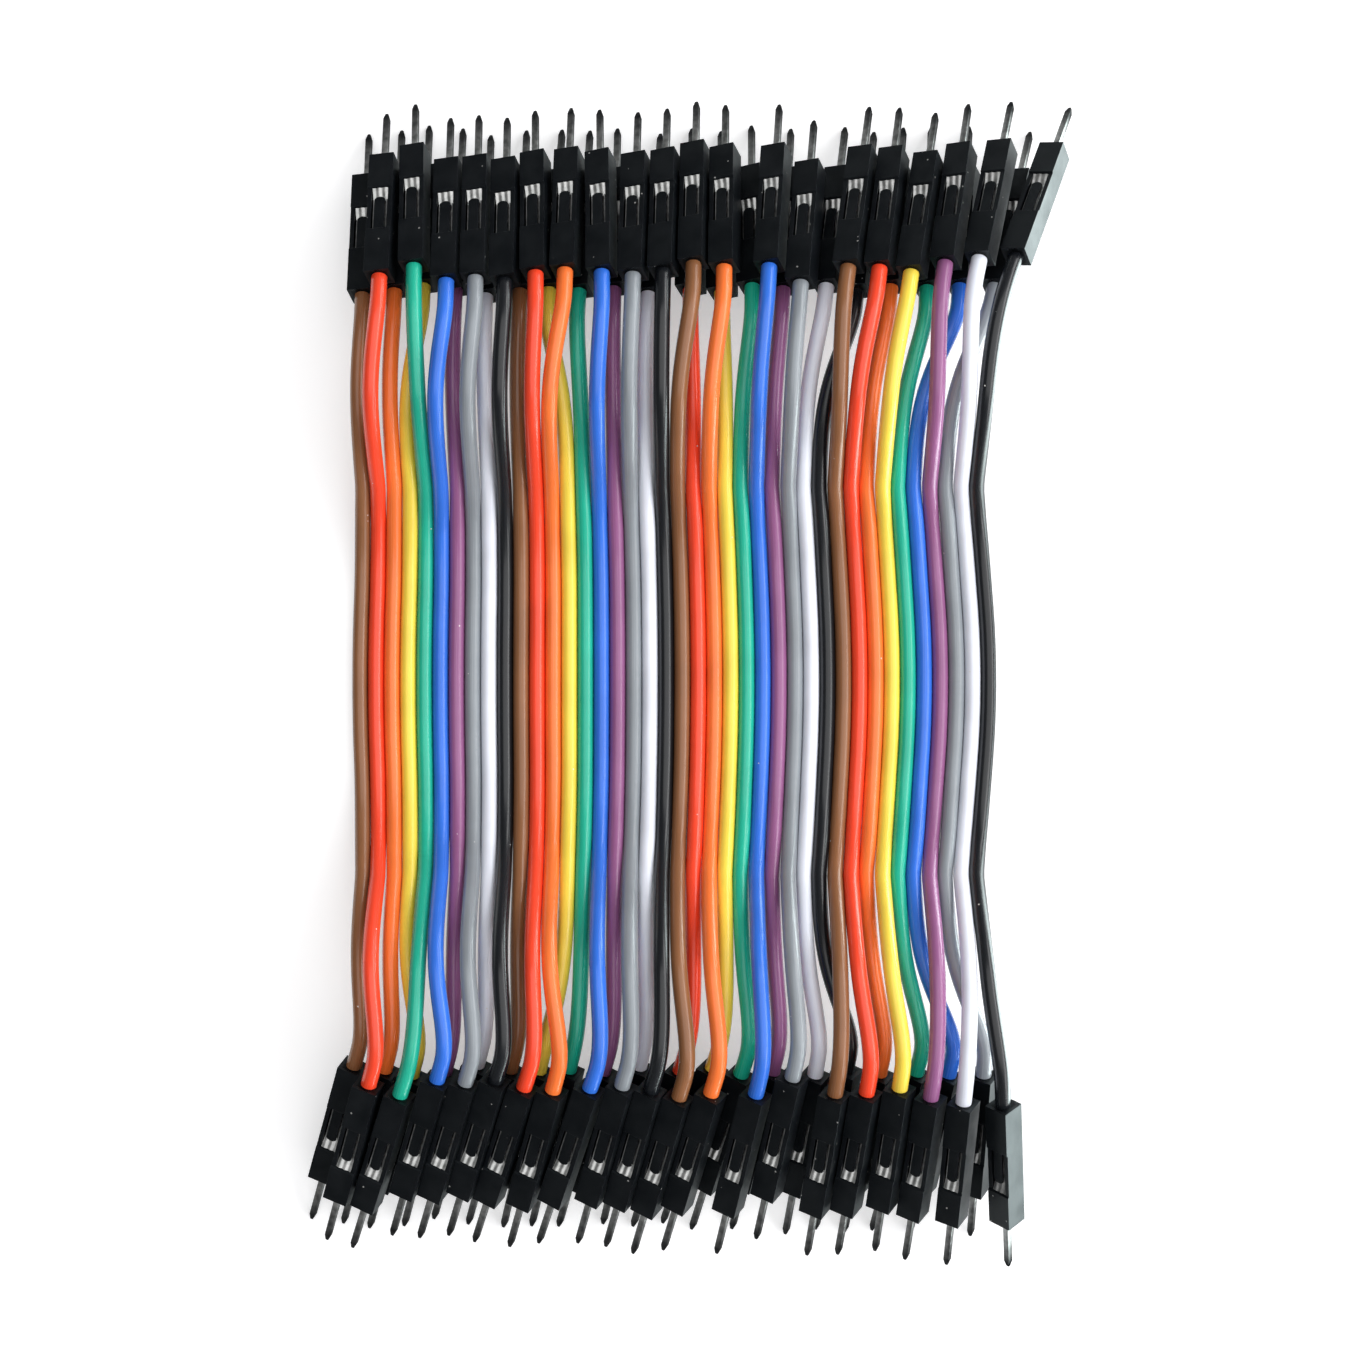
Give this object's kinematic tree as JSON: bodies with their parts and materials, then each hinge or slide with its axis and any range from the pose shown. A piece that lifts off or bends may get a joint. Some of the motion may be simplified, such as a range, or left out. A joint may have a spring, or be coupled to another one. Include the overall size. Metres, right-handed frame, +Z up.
{
  "type": "breadboard jumper wire",
  "caption": "Flat ribbon of bonded coloured jumper wires, split into single wires at both ends, each ending in a black crimp housing with a square male pin.",
  "frame": {"origin": "on the surface the ribbon lies on, under the middle of its box", "axes": "+Y along the wires towards the end called top, +X across the ribbon towards its last wire, +Z up, on the side of the latch windows"},
  "size_m": [0.0786, 0.1194, 0.015],
  "materials": {
    "wire_brown": "glossy extruded insulation",
    "wire_red": "glossy extruded insulation",
    "wire_orange": "glossy extruded insulation",
    "wire_yellow": "glossy extruded insulation",
    "wire_green": "glossy extruded insulation",
    "wire_blue": "glossy extruded insulation",
    "wire_purple": "glossy extruded insulation",
    "wire_grey": "glossy extruded insulation",
    "wire_white": "glossy extruded insulation",
    "wire_black": "glossy extruded insulation",
    "housing": "satin black moulding",
    "terminal": "tin plate, slightly dulled"
  },
  "bodies": {
    "root": {"jumper_01": "wire_brown", "jumper_02": "wire_red", "jumper_03": "wire_orange", "jumper_04": "wire_yellow", "jumper_05": "wire_green", "jumper_06": "wire_blue", "jumper_07": "wire_purple", "jumper_08": "wire_grey", "jumper_09": "wire_white", "jumper_10": "wire_black", "jumper_11": "wire_brown", "jumper_12": "wire_red", "jumper_13": "wire_orange", "jumper_14": "wire_yellow", "jumper_15": "wire_green", "jumper_16": "wire_blue", "jumper_17": "wire_purple", "jumper_18": "wire_grey", "jumper_19": "wire_white", "jumper_20": "wire_black", "jumper_21": "wire_brown", "jumper_22": "wire_red", "jumper_23": "wire_orange", "jumper_24": "wire_yellow", "jumper_25": "wire_green", "jumper_26": "wire_blue", "jumper_27": "wire_purple", "jumper_28": "wire_grey", "jumper_29": "wire_white", "jumper_30": "wire_black", "jumper_31": "wire_brown", "jumper_32": "wire_red", "jumper_33": "wire_orange", "jumper_34": "wire_yellow", "jumper_35": "wire_green", "wire_36": "wire_blue", "housing_36_top": "housing", "terminal_36_top": "terminal", "housing_36_bottom": "housing", "terminal_36_bottom": "terminal", "wire_37": "wire_purple", "housing_37_top": "housing", "terminal_37_top": "terminal", "housing_37_bottom": "housing", "terminal_37_bottom": "terminal", "wire_38": "wire_grey", "housing_38_top": "housing", "terminal_38_top": "terminal", "housing_38_bottom": "housing", "terminal_38_bottom": "terminal", "wire_39": "wire_white", "housing_39_top": "housing", "terminal_39_top": "terminal", "housing_39_bottom": "housing", "terminal_39_bottom": "terminal", "wire_40": "wire_black", "housing_40_top": "housing", "terminal_40_top": "terminal", "housing_40_bottom": "housing", "terminal_40_bottom": "terminal"}
  },
  "joints": []
}
